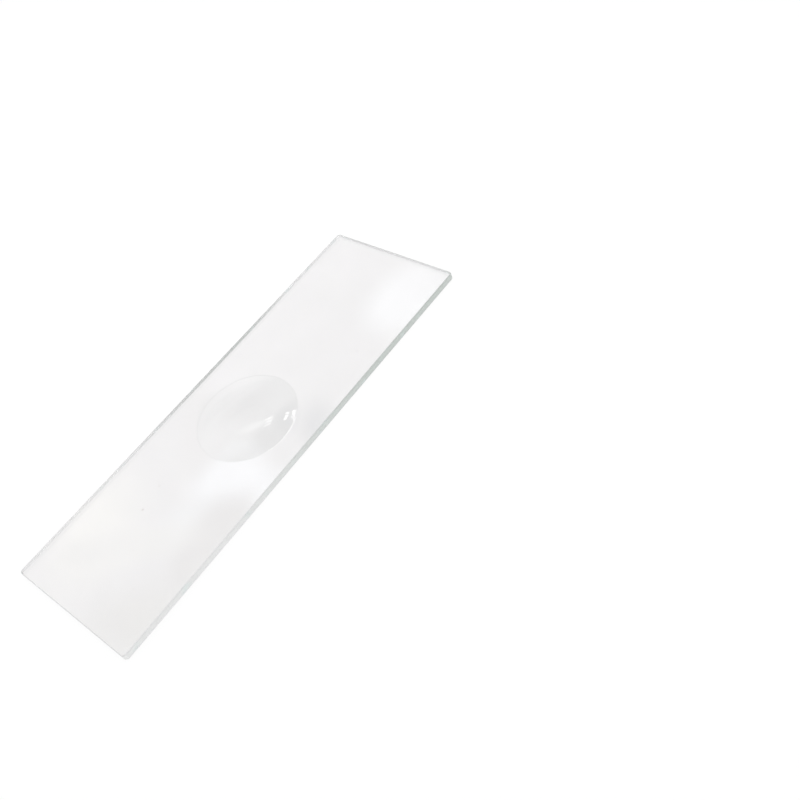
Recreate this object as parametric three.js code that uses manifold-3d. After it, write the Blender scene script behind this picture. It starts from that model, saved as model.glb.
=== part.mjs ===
// Cavity microscope slide: one plate of clear glass with ground edges and a single spherical
// well in its upper face. Millimetres, +Z up, origin at the middle of the underside.
// The plate lies flat, its length along X and its width along Y, with the well facing up.

import * as THREE from 'three';
import { mergeVertices } from 'three/addons/utils/BufferGeometryUtils.js';
import Module from 'manifold-3d';

// The plate: the three inch by one inch format that stages, racks and boxes are made for.
const plateLength = 76.2;
const plateWidth = 25.4;
const plateThickness = 1.2;

// The edges are ground flat, with a small 45 degree arris above and below so that they don't cut,
// and the four upright corners are dubbed to a small radius.
const arrisLeg = 0.15;
const cornerRadius = 0.6;

// The well: a shallow spherical cap, ground and polished into the upper face. Its mouth is
// measured where the sphere meets the plane of the face, and its rim is then eased by polishing.
// Grinding leaves it a little off the middle of the plate.
const wellDiameter = 16.5;
const wellDepth = 0.5;
const rimRadius = 1.6;
const wellOffsetX = -0.3;
const wellOffsetY = -0.4;

// How finely the round forms are cut into facets.
const cornerFacets = 6;
const wellSides = 120;
const wellRings = 14;
const rimRings = 4;

// The well's cutter rises this far above the face, clear of the plate.
const cutterRise = 1;

const wasm = await Module();
wasm.setup();

// A closed three.js geometry as a solid that can be cut.
function toSolid(geometry) {
  geometry.deleteAttribute('normal');
  geometry.deleteAttribute('uv');
  const merged = mergeVertices(geometry, 1e-5);
  const mesh = new wasm.Mesh({
    numProp: 3,
    vertProperties: new Float32Array(merged.attributes.position.array),
    triVerts: new Uint32Array(merged.index.array),
  });
  return new wasm.Manifold(mesh);
}

// A cut solid as a three.js geometry again.
function toGeometry(solid) {
  const mesh = solid.getMesh();
  const geometry = new THREE.BufferGeometry();
  geometry.setAttribute('position', new THREE.BufferAttribute(mesh.vertProperties, 3));
  geometry.setIndex(new THREE.BufferAttribute(mesh.triVerts, 1));
  geometry.computeVertexNormals();
  return geometry;
}

// The plate's outline seen from above, with its corners dubbed.
function plateOutline() {
  const x = plateLength / 2;
  const y = plateWidth / 2;
  const inX = x - cornerRadius;
  const inY = y - cornerRadius;
  const outline = new THREE.Shape();
  outline.moveTo(-inX, -y);
  outline.lineTo(inX, -y);
  outline.absarc(inX, -inY, cornerRadius, -Math.PI / 2, 0);
  outline.lineTo(x, inY);
  outline.absarc(inX, inY, cornerRadius, 0, Math.PI / 2);
  outline.lineTo(-inX, y);
  outline.absarc(-inX, inY, cornerRadius, Math.PI / 2, Math.PI);
  outline.lineTo(-x, -inY);
  outline.absarc(-inX, -inY, cornerRadius, Math.PI, 1.5 * Math.PI);
  return outline;
}

// The plate before grinding: the outline through its thickness, with an arris above and below.
function plateGeometry() {
  const geometry = new THREE.ExtrudeGeometry(plateOutline(), {
    depth: plateThickness - 2 * arrisLeg,
    steps: 1,
    curveSegments: cornerFacets,
    bevelEnabled: true,
    bevelSegments: 1,
    bevelThickness: arrisLeg,
    bevelSize: arrisLeg,
    bevelOffset: -arrisLeg,
  });
  geometry.translate(0, 0, arrisLeg);
  return geometry;
}

// Half of the well's section, out from its axis, with height measured from the upper face: the
// sphere from its lowest point, then the rim's small round, which meets sphere and face smoothly.
function wellProfile() {
  const mouth = wellDiameter / 2;
  const sphereRadius = (mouth ** 2 + wellDepth ** 2) / (2 * wellDepth);
  const sphereHeight = sphereRadius - wellDepth;
  const reach = sphereRadius + rimRadius;
  const rimX = Math.sqrt(reach ** 2 - (sphereHeight + rimRadius) ** 2);
  const slope = Math.asin(rimX / reach);
  const points = [new THREE.Vector2(0, -wellDepth)];
  for (let ring = 1; ring <= wellRings; ring += 1) {
    const angle = (slope * ring) / wellRings;
    const x = sphereRadius * Math.sin(angle);
    const y = sphereHeight - sphereRadius * Math.cos(angle);
    points.push(new THREE.Vector2(x, y));
  }
  for (let ring = 1; ring <= rimRings; ring += 1) {
    const angle = slope * (1 - ring / rimRings);
    const x = rimX - rimRadius * Math.sin(angle);
    const y = rimRadius * (Math.cos(angle) - 1);
    points.push(new THREE.Vector2(x, y));
  }
  points.push(new THREE.Vector2(rimX, cutterRise));
  points.push(new THREE.Vector2(0, cutterRise));
  return points;
}

// The shape that the grinding takes away, standing on the well's place in the upper face.
function wellGeometry() {
  const geometry = new THREE.LatheGeometry(wellProfile(), wellSides);
  geometry.rotateX(Math.PI / 2);
  geometry.translate(wellOffsetX, wellOffsetY, plateThickness);
  return geometry;
}

// Clear soda-lime glass: almost white, with a trace of green, and polished.
const clearGlass = new THREE.MeshStandardMaterial({
  color: 0xe9efeb,
  roughness: 0.04,
  metalness: 0,
  transparent: true,
  opacity: 0.35,
});

const groundPlate = toSolid(plateGeometry()).subtract(toSolid(wellGeometry()));

const slide = new THREE.Mesh(toGeometry(groundPlate), clearGlass);
slide.name = 'glass_slide';

const model = new THREE.Group();
model.add(slide);

export default model;
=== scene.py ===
"""A cavity microscope slide: clear glass with ground edges and one polished well, on a pale floor."""

import math

import bpy
from mathutils import Matrix, Quaternion, Vector


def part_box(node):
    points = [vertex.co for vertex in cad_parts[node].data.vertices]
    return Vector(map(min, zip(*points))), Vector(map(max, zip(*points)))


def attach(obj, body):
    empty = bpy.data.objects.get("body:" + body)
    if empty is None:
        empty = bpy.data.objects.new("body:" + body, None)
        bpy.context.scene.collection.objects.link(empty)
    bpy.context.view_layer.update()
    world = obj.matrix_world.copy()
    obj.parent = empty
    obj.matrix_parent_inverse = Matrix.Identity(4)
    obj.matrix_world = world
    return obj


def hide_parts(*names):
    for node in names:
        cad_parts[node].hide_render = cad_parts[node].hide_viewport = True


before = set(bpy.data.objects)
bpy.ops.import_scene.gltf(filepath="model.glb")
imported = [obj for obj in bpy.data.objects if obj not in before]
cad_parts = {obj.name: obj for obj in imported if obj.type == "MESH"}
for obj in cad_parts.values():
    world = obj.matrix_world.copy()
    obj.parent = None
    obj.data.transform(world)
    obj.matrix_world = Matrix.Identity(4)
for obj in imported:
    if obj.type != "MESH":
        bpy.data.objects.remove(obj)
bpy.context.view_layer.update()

bl_info = {
    "name": "Cavity microscope slide",
    "version": (1, 0, 0),
    "blender": (4, 5, 0),
    "location": "View3D > Sidebar > Slide",
    "description": "Models a glass microscope slide with a ground well, and a pale studio round it",
    "category": "Add Mesh",
}

MM = 0.001
NODE = "glass_slide"
LOW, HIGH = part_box(NODE)
LENGTH, WIDTH, THICKNESS = HIGH - LOW
GLASS_IOR = 1.52


def linear(code):
    """An sRGB hex colour as the linear RGBA that a shader socket takes."""
    shares = [int(code[i : i + 2], 16) / 255 for i in (1, 3, 5)]
    return [s / 12.92 if s <= 0.04045 else ((s + 0.055) / 1.055) ** 2.4 for s in shares] + [1.0]


class SlideSizes(bpy.types.PropertyGroup):
    """The sizes of the glass that a user would change."""

    length: bpy.props.FloatProperty(
        name="Length", description="Long side of the plate", default=LENGTH, unit="LENGTH"
    )
    width: bpy.props.FloatProperty(
        name="Width", description="Short side of the plate", default=WIDTH, unit="LENGTH"
    )
    thickness: bpy.props.FloatProperty(
        name="Thickness", description="Face to face", default=THICKNESS, unit="LENGTH"
    )
    arris: bpy.props.FloatProperty(
        name="Arris", description="Leg of the bevel on each edge", default=0.15 * MM, unit="LENGTH"
    )
    corner: bpy.props.FloatProperty(
        name="Corner", description="Radius of the dubbed corners", default=0.6 * MM, unit="LENGTH"
    )
    well_diameter: bpy.props.FloatProperty(
        name="Well diameter", description="Mouth of the well", default=16.5 * MM, unit="LENGTH"
    )
    well_depth: bpy.props.FloatProperty(
        name="Well depth", description="Depth of the well", default=0.5 * MM, unit="LENGTH"
    )
    well_rim: bpy.props.FloatProperty(
        name="Well rim", description="Radius of the eased rim", default=1.6 * MM, unit="LENGTH"
    )
    well_place: bpy.props.FloatVectorProperty(
        name="Well place",
        description="The well's axis, from the middle of the plate",
        size=2,
        default=(-0.3 * MM, -0.4 * MM),
        unit="LENGTH",
    )


class SlideColours(bpy.types.PropertyGroup):
    """The colours that a user would change."""

    # Partly painted shadow: besides the glass's own tint, this grey darkens what shows through the slide
    # as if the slide shaded the floor under it.
    polished: bpy.props.FloatVectorProperty(
        name="Polished glass", description="Tint of the polished faces", size=4, min=0, max=1,
        default=linear("#f1f1f1"), subtype="COLOR",
    )
    ground: bpy.props.FloatVectorProperty(
        name="Ground glass", description="Colour of the ground edges", size=4, min=0, max=1,
        default=linear("#f5f5f5"), subtype="COLOR",
    )
    grit: bpy.props.FloatVectorProperty(
        name="Grit marks", description="Colour in the marks of the wheel", size=4, min=0, max=1,
        default=linear("#e2f0ee"), subtype="COLOR",
    )
    # Painted shade: the darker, greener colour that the ground edges are painted towards the far end.
    ground_far_shade: bpy.props.FloatVectorProperty(
        name="Deep ground glass", description="Colour of the ground edges at the far end", size=4,
        min=0, max=1, default=linear("#cfd5d1"), subtype="COLOR",
    )
    dust: bpy.props.FloatVectorProperty(
        name="Dust", description="Colour of the specks on the upper face", size=4, min=0, max=1,
        default=linear("#dad6d4"), subtype="COLOR",
    )
    # Painted shade: the faint grey line along the well's rim stands in for the shade of the rim's edge.
    rim: bpy.props.FloatVectorProperty(
        name="Rim", description="Colour of the polishing line along the well's rim", size=4,
        min=0, max=1, default=linear("#dfe1e0"), subtype="COLOR",
    )
    floor: bpy.props.FloatVectorProperty(
        name="Floor", description="The card that the slide lies on", size=4, min=0, max=1,
        default=linear("#e7e7e7"), subtype="COLOR",
    )


def add(tree, kind, inputs=None, **settings):
    """A node of one kind, with its settings, and with a value or a link for each input given. A node
    given for an input is linked by its first output."""
    node = tree.nodes.new(kind)
    for name, value in settings.items():
        setattr(node, name, value)
    for name, value in (inputs or {}).items():
        if isinstance(value, bpy.types.Node):
            value = value.outputs[0]
        if isinstance(value, bpy.types.NodeSocket):
            tree.links.new(value, node.inputs[name])
        else:
            node.inputs[name].default_value = value
    return node


def empty_tree(data):
    """The emptied node tree of a material or a world."""
    data.use_nodes = True
    data.node_tree.nodes.clear()
    return data.node_tree


def start_on(obj=None):
    """Object mode, with nothing selected but obj."""
    if bpy.context.object and bpy.context.object.mode != "OBJECT":
        bpy.ops.object.mode_set(mode="OBJECT")
    bpy.ops.object.select_all(action="DESELECT")
    bpy.context.view_layer.objects.active = obj
    if obj:
        obj.select_set(True)


def pick(obj, domain, test):
    """In edit mode, selects those of obj's vertices, edges or polygons that pass the test."""
    modes = {"vertices": "VERT", "edges": "EDGE", "polygons": "FACE"}
    bpy.ops.mesh.select_mode(type=modes[domain])
    bpy.ops.mesh.select_all(action="DESELECT")
    bpy.ops.object.mode_set(mode="OBJECT")
    for item in getattr(obj.data, domain):
        item.select = test(item)
    bpy.ops.object.mode_set(mode="EDIT")


# The glass

# How finely the round parts are cut: round a corner, across an arris, out to the rim of the well, over
# the rim, and round the well. A polished well mirrors small lamps, so it is cut fine.
CORNER_CUTS, ARRIS_CUTS, WELL_RINGS, RIM_RINGS, WELL_STEPS = 8, 3, 96, 10, 192

# How far past the rim the spun surface goes, in two flat rings, in millimetres.
RIM_LAND = (0.1, 0.4)

# Specks of dust on the upper face: place (x, y) and radius, in millimetres.
SPECKS = (
    (-16.47, 3.49, 0.24),
    (-20.72, 2.73, 0.3),
    (-26.27, -1.39, 0.18),
    (-31.54, -2.0, 0.18),
    (-30.43, -6.07, 0.18),
    (24.6, 5.2, 0.18),
    (17.9, -8.4, 0.2),
)

# Where the tone of the ground edges changes along the plate, all of it painted shade: start and end of
# each soft step, as shares of the length from the middle, and the values before and after it.
EDGE_STEPS = (
    (-0.28, 0.25, 0.0, 1.0),  # painted shade: the edges go darker and greener towards the far end
    (0.12, 0.36, 0.0, 1.0),  # but seen through the plate, that painted shade is taken off again
    (-0.28, 0.02, -0.08, 0.1),  # painted shade: seen through the plate, the edge is darker towards the middle
    (0.12, 0.36, 0.0, -0.15),  # and the painted shade lifts again past it
    (-0.493, -0.497, 0.0, 0.08),  # and the near end is painted a little darker as well
)

# The painted light that glows in place of the light inside the plate that reaches the eye after many
# turns, and the tints of the light that has passed through the polished and the ground glass.
TRAPPED_LIGHT, PAST_POLISHED, PAST_GROUND = "#bec6c2", "#f9f9f9", "#fbfbfb"


def cut_plate(sizes):
    """The plate with dubbed corners and eased arrises, open where its upper face will be."""
    start_on()
    bpy.ops.mesh.primitive_cube_add(size=1, location=(0, 0, sizes.thickness / 2))
    plate = bpy.context.object
    plate.scale = (sizes.length, sizes.width, sizes.thickness)
    bpy.ops.object.transform_apply(location=True, rotation=True, scale=True)

    def upright(edge):
        a, b = (plate.data.vertices[i].co for i in edge.vertices)
        return abs(a.z - b.z) > sizes.thickness / 2

    bpy.ops.object.mode_set(mode="EDIT")
    pick(plate, "edges", upright)
    bpy.ops.mesh.bevel(offset=sizes.corner, segments=CORNER_CUTS, affect="EDGES")
    pick(plate, "edges", lambda edge: not upright(edge))
    bpy.ops.mesh.bevel(offset=sizes.arris, segments=ARRIS_CUTS, profile=0.4, affect="EDGES")
    pick(plate, "polygons", lambda face: face.normal.z > 0.99)
    bpy.ops.mesh.delete(type="ONLY_FACE")
    start_on()
    return plate


def well_section(sizes):
    """Half of the well's section, out from its lowest point, with heights from the upper face."""
    mouth, depth, rim = sizes.well_diameter / 2, sizes.well_depth, sizes.well_rim
    sphere = (mouth**2 + depth**2) / (2 * depth)
    height = sphere - depth
    rim_x = math.sqrt((sphere + rim) ** 2 - (height + rim) ** 2)
    slope = math.asin(rim_x / (sphere + rim))
    points = [(0.0, -depth)]
    for ring in range(1, WELL_RINGS + 1):
        angle = slope * ring / WELL_RINGS
        points.append((sphere * math.sin(angle), height - sphere * math.cos(angle)))
    for ring in range(1, RIM_RINGS + 1):
        angle = slope * (1 - ring / RIM_RINGS)
        points.append((rim_x - rim * math.sin(angle), rim * (math.cos(angle) - 1)))
    points += [(rim_x + land * MM, 0.0) for land in RIM_LAND]
    return points


def spin_well(sizes):
    """The well's surface, spun from its section, with a narrow flat land round its rim."""
    start_on()
    x, y = sizes.well_place
    points = [Vector((x + out, y, sizes.thickness + up)) for out, up in well_section(sizes)]
    bpy.ops.mesh.primitive_plane_add(size=MM, location=points[0])
    well = bpy.context.object
    bpy.ops.object.transform_apply(location=True)
    bpy.ops.object.mode_set(mode="EDIT")
    bpy.ops.mesh.select_mode(type="VERT")
    bpy.ops.mesh.select_all(action="SELECT")
    bpy.ops.mesh.merge(type="CENTER")
    for last, point in zip(points, points[1:]):
        bpy.ops.mesh.extrude_region_move(TRANSFORM_OT_translate={"value": point - last})
    bpy.ops.mesh.select_all(action="SELECT")
    bpy.ops.mesh.spin(steps=WELL_STEPS, angle=2 * math.pi, center=points[0], axis=(0, 0, 1))
    bpy.ops.mesh.select_all(action="SELECT")
    bpy.ops.mesh.remove_doubles(threshold=1e-7)
    start_on()
    return well


def close_face(plate, well):
    """Joins the well to the plate, and fills the upper face between them."""
    start_on(plate)
    well.select_set(True)
    bpy.ops.object.join()
    bpy.ops.object.mode_set(mode="EDIT")
    bpy.ops.mesh.select_mode(type="EDGE")
    bpy.ops.mesh.select_all(action="DESELECT")
    bpy.ops.mesh.select_non_manifold(extend=False)
    bpy.ops.mesh.fill(use_beauty=False)
    bpy.ops.mesh.select_all(action="SELECT")
    bpy.ops.mesh.normals_make_consistent(inside=False)
    bpy.ops.object.mode_set(mode="OBJECT")
    bpy.ops.object.shade_smooth_by_angle(angle=math.radians(35))
    weighted = plate.modifiers.new("flat_faces", "WEIGHTED_NORMAL")
    weighted.keep_sharp = True
    bpy.ops.object.modifier_apply(modifier=weighted.name)


def let_light_by(tree, surface, tint):
    """Ends a material in its surface, with a tinted clear stand-in for the rays that carry the light of
    the lamps and the floor, so that what lies under the slide is lit through it. Light that is mirrored
    to and fro between the faces would be lost, so after a few turns the surface glows the plate's soft
    green instead, as painted light."""
    path = add(tree, "ShaderNodeLightPath").outputs
    turns = add(tree, "ShaderNodeMath", {0: path["Glossy Depth"], 1: 2.5}, operation="GREATER_THAN")
    trapped_glow = add(tree, "ShaderNodeEmission", {"Color": linear(TRAPPED_LIGHT)})
    clear = add(tree, "ShaderNodeBsdfTransparent", {"Color": tint})
    for share, other in (
        (turns, trapped_glow),
        (path["Is Shadow Ray"], clear),
        (path["Is Diffuse Ray"], clear),
    ):
        surface = add(tree, "ShaderNodeMixShader", {0: share, 1: surface, 2: other})
    add(tree, "ShaderNodeOutputMaterial", {"Surface": surface})


def noise(tree, place, size, detail=2.0, stretch=(1, 1, 1)):
    """Even noise with grains of a size, drawn out along an axis whose stretch is more than 1."""
    drawn = add(tree, "ShaderNodeMapping", {0: place, "Scale": stretch}, vector_type="TEXTURE")
    grain = {"Vector": drawn, "Scale": 1 / size, "Detail": detail}
    return add(tree, "ShaderNodeTexNoise", grain).outputs["Fac"]


# In both glasses, a Map Range node takes a value as its input 0 and leads it from between inputs 1 and 2
# to between inputs 3 and 4, which are 0 and 1 where they aren't given.


def polished_glass(colours, sizes):
    """Soda-lime glass, polished: clear, almost without colour of its own, and it mirrors the room
    faintly. Its light grey tint, which darkens what shows through it, is partly the glass's own tint and
    partly painted shadow of the slide on the floor under it. Wiping along the slide has left its upper
    face not quite even, and a few specks of dust have settled there. A faint grey line just outside the
    rim of the well is painted shade along the rim's edge."""
    material = bpy.data.materials.new("polished_soda_lime_glass")
    tree = empty_tree(material)
    soft = {"interpolation_type": "SMOOTHSTEP"}
    place = add(tree, "ShaderNodeTexCoord").outputs["Object"]
    height = add(tree, "ShaderNodeSeparateXYZ", {0: place}).outputs["Z"]
    upper = add(tree, "ShaderNodeMapRange", {0: height, 1: 0.2 * MM, 2: 0.4 * MM}, **soft)

    # The wiping shows as a slightly uneven gloss, with marks 1.5 mm wide and nine times as long.
    smears = noise(tree, place, 1.5 * MM, 3.0, (9, 1, 1))
    wiped = add(tree, "ShaderNodeMapRange", {0: smears, 1: 0.3, 2: 0.7, 3: 0.0272, 4: 0.032})
    rough = add(tree, "ShaderNodeMix", {0: upper, 2: 0.02, 3: wiped})

    dusty = 0.0
    for x, y, radius in SPECKS:
        spot = (x * MM, y * MM, THICKNESS)
        away = add(tree, "ShaderNodeVectorMath", {0: place, 1: spot}, operation="DISTANCE")
        away = away.outputs["Value"]
        speck = {0: away, 1: radius * MM, 2: radius * MM / 3}
        speck = add(tree, "ShaderNodeMapRange", speck, **soft)
        dusty = add(tree, "ShaderNodeMath", {0: dusty, 1: speck}, operation="MAXIMUM")
    # The polished tint, partly painted shadow of the slide on the floor under it, with the dust specks
    # over it.
    tint = {0: dusty, 6: colours.polished, 7: colours.dust}
    colour = add(tree, "ShaderNodeMix", tint, data_type="RGBA").outputs[2]

    # A painted shade line, a quarter of a millimetre wide, just outside the mouth of the well, where the
    # rim's edge is.
    mouth, line = sizes.well_diameter / 2, upper
    axis = (*sizes.well_place, THICKNESS)
    away = add(tree, "ShaderNodeVectorMath", {0: place, 1: axis}, operation="DISTANCE")
    away = away.outputs["Value"]
    for low, high in ((mouth - 0.15 * MM, mouth), (mouth + 0.25 * MM, mouth + 0.1 * MM)):
        side = add(tree, "ShaderNodeMapRange", {0: away, 1: low, 2: high}, **soft)
        line = add(tree, "ShaderNodeMath", {0: line, 1: side}, operation="MULTIPLY")
    faint = add(tree, "ShaderNodeMath", {0: line, 1: 0.2}, operation="MULTIPLY")
    tint = {0: faint, 6: colour, 7: colours.rim}
    colour = add(tree, "ShaderNodeMix", tint, data_type="RGBA").outputs[2]

    glass = add(
        tree,
        "ShaderNodeBsdfPrincipled",
        {"Base Color": colour, "Roughness": rough, "IOR": GLASS_IOR, "Transmission Weight": 1.0},
    )
    let_light_by(tree, glass, linear(PAST_POLISHED))
    return material


def ground_glass(colours):
    """The same glass, ground: it scatters what light the plate gathers, so that it looks matt and a pale
    grey, a little green. Painted shade makes it darker and greener towards the far end, and, where it is
    seen through the plate, darker towards the middle and at the near end. The wheel has left fine lines
    along the edges, whose hollows are painted a little darker as shade. The arrises are painted a little
    darker as shade, with tiny nicks."""
    material = bpy.data.materials.new("ground_soda_lime_glass")
    tree = empty_tree(material)
    soft = {"interpolation_type": "SMOOTHSTEP"}
    place = add(tree, "ShaderNodeTexCoord").outputs["Object"]
    axes = add(tree, "ShaderNodeSeparateXYZ", {0: place}).outputs
    inside = add(tree, "ShaderNodeNewGeometry").outputs["Backfacing"]
    far_end_shade, pale, *glooms = (
        add(
            tree,
            "ShaderNodeMapRange",
            {0: axes["X"], 1: low * LENGTH, 2: high * LENGTH, 3: before, 4: after},
            **soft,
        )
        for low, high, before, after in EDGE_STEPS
    )

    # The colour: the green of the plate, painted darker and greener towards the far end as shade, but
    # not where the edge is seen through the plate, with soft greener patches about 2.5 mm across.
    pale = add(tree, "ShaderNodeMath", {0: pale, 1: inside}, operation="MULTIPLY")
    green = add(tree, "ShaderNodeMath", {0: 1.0, 1: pale}, operation="SUBTRACT")
    far_end_shade = add(tree, "ShaderNodeMath", {0: far_end_shade, 1: green}, operation="MULTIPLY")
    tint = {0: far_end_shade, 6: colours.ground, 7: colours.ground_far_shade}
    colour = add(tree, "ShaderNodeMix", tint, data_type="RGBA").outputs[2]
    patches = noise(tree, place, 2.5 * MM)
    patches = add(tree, "ShaderNodeMapRange", {0: patches, 1: 0.5, 2: 0.75, 4: 0.5}, **soft)
    tint = {0: patches, 6: colour, 7: colours.grit}
    colour = add(tree, "ShaderNodeMix", tint, data_type="RGBA").outputs[2]

    # The relief: lines 0.05 mm wide that the wheel drew along the edge, and grains of 0.09 mm. Their
    # hollows are painted up to a twentieth darker, as painted shade.
    marks = noise(tree, place, 0.05 * MM, 3.0, (14, 14, 1))
    marks = add(tree, "ShaderNodeMapRange", {0: marks, 1: 0.35, 2: 0.7}, **soft)
    grains = noise(tree, place, 0.09 * MM, 3.0)
    grains = add(tree, "ShaderNodeMapRange", {0: grains, 1: 0.3, 2: 0.7}, **soft)
    relief = add(tree, "ShaderNodeMath", {0: marks, 1: grains}, operation="ADD")
    hollow_shade = add(tree, "ShaderNodeMapRange", {0: relief, 1: 0.4, 2: 1.6, 3: 0.95, 4: 1.0})

    # The arrises, where the height above or below the middle is within 0.2 mm of the faces, are painted
    # darker, as painted shade.
    middle = add(tree, "ShaderNodeMath", {0: axes["Z"], 1: THICKNESS / 2}, operation="SUBTRACT")
    middle = add(tree, "ShaderNodeMath", {0: middle}, operation="ABSOLUTE")
    band = {0: middle, 1: THICKNESS / 2 - 0.2 * MM, 2: THICKNESS / 2 - 0.1 * MM, 3: 1.0, 4: 0.86}
    arris = add(tree, "ShaderNodeMapRange", band, **soft)

    # The nicks, where a noise of 0.7 mm is at its highest, along the arrises only.
    nicks = noise(tree, place, 0.7 * MM)
    nicks = add(tree, "ShaderNodeMapRange", {0: nicks, 1: 0.69, 2: 0.73}, **soft)
    at_arris = add(tree, "ShaderNodeMapRange", {0: arris, 1: 1.0, 2: 0.95}, **soft)
    nicks = add(tree, "ShaderNodeMath", {0: nicks, 1: at_arris}, operation="MULTIPLY")
    nicks = add(tree, "ShaderNodeMapRange", {0: nicks, 3: 1.0, 4: 0.8})

    # The painted shade inside: how much darker an edge is painted where it is seen through the plate.
    gloom = 0.0
    for more in glooms:
        gloom = add(tree, "ShaderNodeMath", {0: gloom, 1: more}, operation="ADD")
    gloom = add(tree, "ShaderNodeMath", {0: inside, 1: gloom}, operation="MULTIPLY")
    light = add(tree, "ShaderNodeMath", {0: 1.0, 1: gloom}, operation="SUBTRACT")

    shade = hollow_shade
    for more in (arris, nicks, light):
        shade = add(tree, "ShaderNodeMath", {0: shade, 1: more}, operation="MULTIPLY")
    colour = add(tree, "ShaderNodeVectorMath", {0: colour, 1: shade}, operation="MULTIPLY")
    bump = {"Height": relief, "Distance": 0.004 * MM, "Strength": 0.5}
    glass = add(
        tree,
        "ShaderNodeBsdfPrincipled",
        {
            "Base Color": colour,
            "Roughness": 0.5,
            "IOR": GLASS_IOR,
            "Transmission Weight": 0.2,
            "Normal": add(tree, "ShaderNodeBump", bump),
        },
    )
    let_light_by(tree, glass, linear(PAST_GROUND))
    return material


class SLIDE_OT_glass(bpy.types.Operator):
    """Model the glass plate, its ground edges and its well"""

    bl_idname = "slide.glass"
    bl_label = "Glass plate"
    bl_options = {"REGISTER", "UNDO"}

    def execute(self, context):
        sizes, colours = context.scene.slide_sizes, context.scene.slide_colours
        slide = cut_plate(sizes)
        close_face(slide, spin_well(sizes))
        slide.name = slide.data.name = "slide_glass"
        slide.data.materials.append(polished_glass(colours, sizes))
        slide.data.materials.append(ground_glass(colours))
        for face in slide.data.polygons:
            face.material_index = int(abs(face.normal.z) < 0.97)
        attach(slide, "root")
        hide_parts(NODE)
        return {"FINISHED"}


# The stage

# The floor's width, and how far below the slide it lies, so that the two don't share a plane.
FLOOR_WIDTH, FLOOR_DROP = 8, 0.05 * MM
# What the floor adds, where something looks at it, to reach the white beyond it.
FLOOR_LIFT = 0.23

# The soft patches of the diffuser that hangs low over the slide, in the order in which they overlap:
# middle (x, y), half length, half width, turn in degrees, share of the way in over which the edge fades,
# how bright it is, where 1 is white, and its tint. Lengths are in millimetres.
PATCHES = {
    "diffuser": (14.0, 36.0, 120.0, 31.0, 0.0, 0.25, 1.58, "#fff9fc"),
    "glow": (-22.5, 47.5, 22.0, 15.5, 34.0, 0.85, 2.11, "#fffaf3"),
    "window": (-0.5, 25.8, 14.3, 9.8, -69.0, 0.58, 2.68, "#f8f9ff"),
    "window_tail": (-10.6, 29.3, 13.1, 6.1, -26.0, 0.77, 1.9, "#fcfbff"),
    "near_shade": (-31.1, 20.7, 20.5, 11.9, -54.0, 0.87, 1.18, "#fff6ee"),
    "side_shade": (-12.7, 20.3, 16.0, 9.4, 7.0, 0.53, 1.14, "#fff3f3"),
    "far_window": (56.1, 24.3, 15.4, 12.0, -4.0, 0.67, 2.42, "#fbfbff"),
    "haze": (-22.0, 36.9, 22.0, 6.2, -51.0, 0.71, 1.79, "#fffaf6"),
    "well_shade": (19.5, 20.5, 9.5, 6.0, 42.0, 0.9, 0.75, "#f6f4ff"),
    "far_shade": (6.6, 45.0, 22.0, 6.5, 44.0, 0.84, 1.44, "#fff6f8"),
}
# The gap in the diffuser over the well, and the bright haze across it, which the well mirrors as a soft
# streak. Both are written the same way.
GAP = (14.2, 38.1, 10.5, 12.0, 0.0, 0.35)
WELL_HAZE = (14.6, 29.6, 6.0, 3.0, -40.0, 1.0, 1.9, "#ffffff")
DIFFUSER_HEIGHT = 40 * MM

# What the well mirrors through the gap, and the windows behind and beside the slide, written the same
# way but in degrees of azimuth, from +Y towards +X, and of elevation.
FAR_PATCHES = {
    "wall": (28.0, 45.0, 10.0, 10.0, 0.0, 1.0, 1.5, "#fffbfd"),
    "flag": (16.5, 36.5, 8.0, 6.5, 0.0, 0.35, 0.03, "#ffffff"),
    "ceiling": (19.0, 50.5, 9.0, 6.5, 0.0, 1.0, 0.05, "#ffffff"),
    "curtain": (21.8, 42.5, 4.0, 1.9, 15.0, 1.0, 2.0, "#ffffff"),
    "back_window": (160.0, 45.0, 16.0, 9.0, 0.0, 0.6, 2.0, "#fbfbff"),
    "left_window": (95.0, 42.0, 16.0, 9.0, 0.0, 0.6, 2.0, "#fbfbff"),
    "right_window": (-100.0, 42.0, 16.0, 9.0, 0.0, 0.6, 2.0, "#fbfbff"),
}

# Small far lamps that sparkle in the well: azimuth and elevation of the two ends of each, its width in
# degrees, and its strength.
LAMPS = (
    (16.25, 39.73, 15.89, 39.59, 0.22, 15.0),
    (16.68, 39.25, 16.32, 39.03, 0.22, 15.0),
    (17.15, 38.74, 16.77, 38.47, 0.22, 15.0),
    (15.45, 38.86, 15.13, 38.56, 0.27, 16.0),
    (15.85, 38.42, 15.44, 38.13, 0.26, 16.0),
    (16.28, 37.83, 15.87, 37.50, 0.26, 16.0),
    (16.42, 36.80, 16.25, 36.93, 0.24, 16.0),
    (19.22, 42.11, 17.99, 41.51, 0.22, 6.0),
    (19.48, 41.45, 18.36, 40.75, 0.22, 6.0),
    (19.91, 40.81, 18.89, 40.23, 0.22, 6.0),
)

# A small bar of light under the diffuser, which only the well's rim mirrors, as one thin line: middle
# (x, y), length, width, turn in degrees, and strength.
RIM_BAR = (14.4, 27.9, 6.8, 4.2, -2.0, 12.0)

# How far off the small lamps hang, in metres.
LAMP_REACH = 20.0

# The broad key: tilt, turn and spread in degrees, and strength.
KEY = (40, -20, 40, 0.9)

# How bright the dome is: as light on the slide, where the upper face mirrors it, and by way of the
# underside.
DOME_LIGHT = 0.75
DOME_MIRRORED = (0.65, "#fffcfd")
DOME_THROUGH = (1.5, "#fff9fc")

# The camera's place and what it looks at, in millimetres, its lean in degrees, and its lens.
CAMERA_PLACE, CAMERA_AIM = (-37.48, -95.69, 103.92), (13.19, -20.86, 1.2)
CAMERA_LEAN, CAMERA_LENS = 23.62, 41.786


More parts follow.
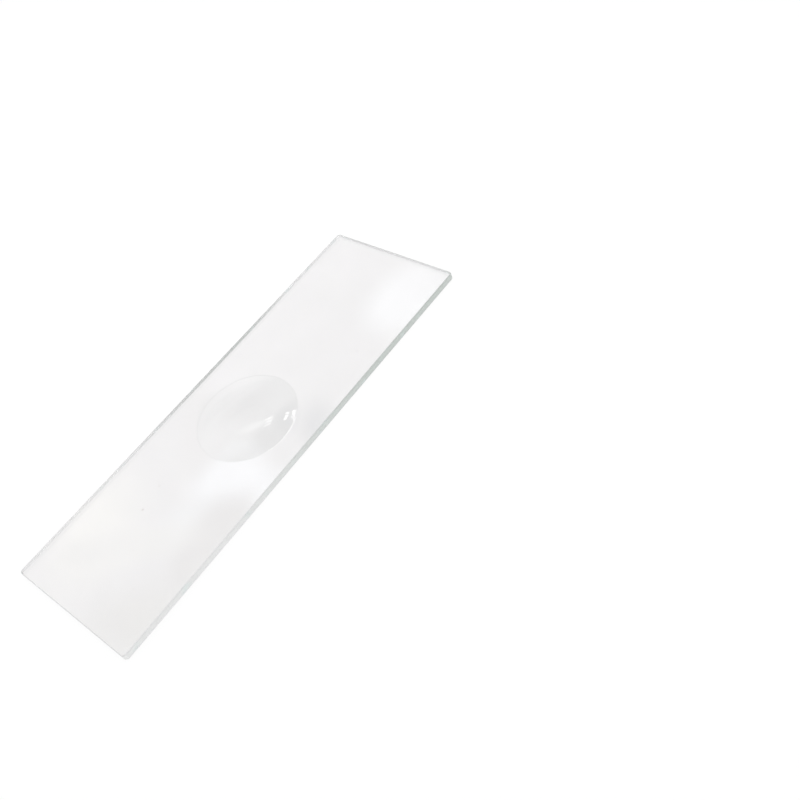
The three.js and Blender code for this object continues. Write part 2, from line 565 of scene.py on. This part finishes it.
def lay_floor(colours):
    """A white card. Its shading comes from the lamps, and to whatever looks at it, it is as bright as
    the white beyond it."""
    start_on()
    bpy.ops.mesh.primitive_plane_add(size=FLOOR_WIDTH, location=(0, 0, -FLOOR_DROP))
    floor = bpy.context.object
    floor.name = "floor"
    material = bpy.data.materials.new("white_card")
    tree = empty_tree(material)
    path = add(tree, "ShaderNodeLightPath").outputs
    seen = path["Is Camera Ray"]
    for ray in ("Is Glossy Ray", "Is Transmission Ray"):
        seen = add(tree, "ShaderNodeMath", {0: seen, 1: path[ray]}, operation="MAXIMUM")
    lift = add(tree, "ShaderNodeMath", {0: seen, 1: FLOOR_LIFT}, operation="MULTIPLY")
    card = add(
        tree,
        "ShaderNodeBsdfPrincipled",
        {"Base Color": colours.floor, "Roughness": 0.9, "Specular IOR Level": 0.0},
    )
    glow = add(tree, "ShaderNodeEmission", {"Strength": lift})
    both = add(tree, "ShaderNodeAddShader", {0: card, 1: glow})
    add(tree, "ShaderNodeOutputMaterial", {"Surface": both})
    material.cycles.emission_sampling = "NONE"
    floor.data.materials.append(material)


def patch_share(tree, place, height, x, y, half_length, half_width, turn, fade):
    """The share of a soft-edged oval patch at a place: 1 in its middle and 0 outside it."""
    centred = add(
        tree,
        "ShaderNodeMapping",
        {
            "Vector": place,
            "Location": (x, y, height),
            "Rotation": (0, 0, math.radians(turn)),
            "Scale": (half_length, half_width, 1),
        },
        vector_type="TEXTURE",
    )
    out = add(tree, "ShaderNodeVectorMath", {0: centred}, operation="LENGTH").outputs["Value"]
    edge = {0: out, 1: 1.0, 2: 1.0 - fade}
    return add(tree, "ShaderNodeMapRange", edge, interpolation_type="SMOOTHSTEP")


def bright(level, tint):
    """A light's colour: its tint at its level, where 1 is white."""
    return [level * share for share in linear(tint)[:3]] + [1.0]


def hang_diffuser():
    """A low diffuser with brighter and darker soft patches, which only the glass mirrors. Past its edge
    and through its gap the dome shows."""
    start_on()
    bpy.ops.mesh.primitive_plane_add(size=0.3, location=(0, 0, DIFFUSER_HEIGHT))
    diffuser = bpy.context.object
    bpy.ops.object.transform_apply(location=True)
    diffuser.name = "diffuser"
    diffuser.visible_camera = diffuser.visible_diffuse = diffuser.visible_shadow = False
    material = bpy.data.materials.new("patched_diffuser")
    tree = empty_tree(material)
    place = add(tree, "ShaderNodeTexCoord").outputs["Object"]
    black, white = (0.0, 0.0, 0.0, 1.0), (1.0, 1.0, 1.0, 1.0)
    looks = [(*shape, bright(level, tint), black) for *shape, level, tint in PATCHES.values()]
    looks.append((*GAP, black, white))
    *shape, level, tint = WELL_HAZE
    looks.append((*shape, bright(level, tint), black))
    glow, through = black, white
    for x, y, half_length, half_width, turn, fade, light, clear in looks:
        lengths = (value * MM for value in (x, y, half_length, half_width))
        share = patch_share(tree, place, DIFFUSER_HEIGHT, *lengths, turn, fade)
        glow = {0: share, 6: glow, 7: light}
        glow = add(tree, "ShaderNodeMix", glow, data_type="RGBA").outputs[2]
        through = {0: share, 6: through, 7: clear}
        through = add(tree, "ShaderNodeMix", through, data_type="RGBA").outputs[2]
    clouds = noise(tree, place, 9 * MM, 3.0)
    clouds = add(tree, "ShaderNodeMapRange", {0: clouds, 1: 0.3, 2: 0.7, 3: 0.93, 4: 1.07})
    lit = add(tree, "ShaderNodeEmission", {"Color": glow, "Strength": clouds})
    clear = add(tree, "ShaderNodeBsdfTransparent", {"Color": through})
    both = add(tree, "ShaderNodeAddShader", {0: lit, 1: clear})
    add(tree, "ShaderNodeOutputMaterial", {"Surface": both})
    material.cycles.emission_sampling = "NONE"
    diffuser.data.materials.append(material)


def light_dome(scene):
    """A plain white dome that lights the slide evenly. What the upper face mirrors of it is a little
    darker, with a wall, a dark flag, a ceiling, a curtain and soft windows, and what shows by way of the
    underside is as bright as the diffuser. What the camera sees past the floor is white."""
    world = bpy.data.worlds.new("studio")
    scene.world = world
    tree = empty_tree(world)
    direction = add(tree, "ShaderNodeTexCoord").outputs["Generated"]
    axes = add(tree, "ShaderNodeSeparateXYZ", {0: direction}).outputs
    azimuth = add(tree, "ShaderNodeMath", {0: axes["X"], 1: axes["Y"]}, operation="ARCTAN2")
    elevation = add(tree, "ShaderNodeMath", {0: axes["Z"]}, operation="ARCSINE")
    place = add(tree, "ShaderNodeCombineXYZ", {"X": azimuth, "Y": elevation})
    look = bright(*DOME_MIRRORED)
    for x, y, half_length, half_width, turn, fade, level, tint in FAR_PATCHES.values():
        angles = (math.radians(value) for value in (x, y, half_length, half_width))
        share = patch_share(tree, place, 0.0, *angles, turn, fade)
        look = {0: share, 6: look, 7: bright(level, tint)}
        look = add(tree, "ShaderNodeMix", look, data_type="RGBA").outputs[2]
    path = add(tree, "ShaderNodeLightPath").outputs
    plain = {"Color": linear("#ffffff"), "Strength": DOME_LIGHT}
    surface = add(tree, "ShaderNodeBackground", plain)
    for ray, colour in (
        ("Is Glossy Ray", look),
        ("Is Transmission Ray", bright(*DOME_THROUGH)),
        ("Is Camera Ray", linear("#ffffff")),
    ):
        seen = add(tree, "ShaderNodeBackground", {"Color": colour})
        surface = add(tree, "ShaderNodeMixShader", {0: path[ray], 1: surface, 2: seen})
    add(tree, "ShaderNodeOutputWorld", {"Surface": surface})


def towards(azimuth, elevation):
    """The direction with this azimuth, from +Y towards +X, and this elevation, in degrees."""
    azimuth, elevation = math.radians(azimuth), math.radians(elevation)
    flat = math.cos(elevation)
    return Vector((flat * math.sin(azimuth), flat * math.cos(azimuth), math.sin(elevation)))


def hang_lamp(name, place, turn, size, size_y, strength):
    """A small flat lamp that only the upper surface of the glass mirrors. Its strength is how bright it
    looks, where 1 is white."""
    bpy.ops.object.light_add(type="AREA", location=place, rotation=turn)
    lamp = bpy.context.object
    lamp.name = name
    lamp.data.shape = "RECTANGLE"
    lamp.data.size, lamp.data.size_y = size, size_y
    lamp.data.energy = strength * math.pi * size * size_y
    lamp.visible_camera = lamp.visible_transmission = False


def hang_lamps(well):
    """A broad sun-like key, whose disc the glass doesn't mirror, the bar for the well's rim, and the far
    small lamps that sparkle in the well."""
    tilt, turn, spread, strength = KEY
    bpy.ops.object.light_add(type="SUN", rotation=(math.radians(tilt), 0, math.radians(turn)))
    key = bpy.context.object
    key.name = "soft_key"
    key.data.angle = math.radians(spread)
    key.data.energy = strength
    key.visible_glossy = key.visible_transmission = False
    x, y, size, size_y, turn, strength = RIM_BAR
    place = (x * MM, y * MM, DIFFUSER_HEIGHT - MM)
    hang_lamp("rim_bar", place, (0, 0, math.radians(turn)), size * MM, size_y * MM, strength)
    for number, (az_a, el_a, az_b, el_b, width, strength) in enumerate(LAMPS, 1):
        ends = towards(az_a, el_a) * LAMP_REACH, towards(az_b, el_b) * LAMP_REACH
        along, out = (ends[1] - ends[0]), (ends[0] + ends[1]).normalized()
        across = out.cross(along).normalized()
        turn = Matrix((along.normalized(), across, out)).transposed().to_euler()
        place = well + (ends[0] + ends[1]) / 2
        size_y = LAMP_REACH * math.radians(width)
        hang_lamp(f"small_lamp_{number}", place, turn, along.length, size_y, strength)


def set_camera(scene):
    """The camera looks down from beyond the near right-hand edge, and leans as it is held by hand."""
    place, aim = Vector(CAMERA_PLACE) * MM, Vector(CAMERA_AIM) * MM
    lean = Quaternion((0, 0, 1), -math.radians(CAMERA_LEAN))
    turn = (aim - place).to_track_quat("-Z", "Y") @ lean
    bpy.ops.object.camera_add(location=place, rotation=turn.to_euler())
    camera = bpy.context.object
    camera.name = "camera"
    camera.data.sensor_width = 36
    camera.data.lens = CAMERA_LENS
    camera.data.clip_start, camera.data.clip_end = MM, LAMP_REACH
    scene.camera = camera
    scene.view_settings.view_transform = "Standard"


class SLIDE_OT_stage(bpy.types.Operator):
    """Lay the floor, light it and set the camera"""

    bl_idname = "slide.stage"
    bl_label = "Stage"
    bl_options = {"REGISTER", "UNDO"}

    def execute(self, context):
        sizes = context.scene.slide_sizes
        lay_floor(context.scene.slide_colours)
        light_dome(context.scene)
        hang_diffuser()
        hang_lamps(Vector((*sizes.well_place, sizes.thickness)))
        set_camera(context.scene)
        return {"FINISHED"}


class SLIDE_PT_panel(bpy.types.Panel):
    """The slide's sizes and colours, and a button for each thing that is made"""

    bl_label = "Cavity slide"
    bl_idname = "SLIDE_PT_panel"
    bl_space_type = "VIEW_3D"
    bl_region_type = "UI"
    bl_category = "Slide"

    def draw(self, context):
        for group in (context.scene.slide_sizes, context.scene.slide_colours):
            for name in group.__annotations__:
                self.layout.prop(group, name)
        for operator in OPERATORS:
            self.layout.operator(operator.bl_idname)


OPERATORS = (SLIDE_OT_glass, SLIDE_OT_stage)
CLASSES = (SlideSizes, SlideColours, *OPERATORS, SLIDE_PT_panel)


def register():
    for cls in CLASSES:
        bpy.utils.register_class(cls)
    bpy.types.Scene.slide_sizes = bpy.props.PointerProperty(type=SlideSizes)
    bpy.types.Scene.slide_colours = bpy.props.PointerProperty(type=SlideColours)


def unregister():
    del bpy.types.Scene.slide_colours
    del bpy.types.Scene.slide_sizes
    for cls in reversed(CLASSES):
        bpy.utils.unregister_class(cls)


def main():
    register()
    bpy.ops.slide.glass()
    bpy.ops.slide.stage()


if __name__ == "__main__":
    main()
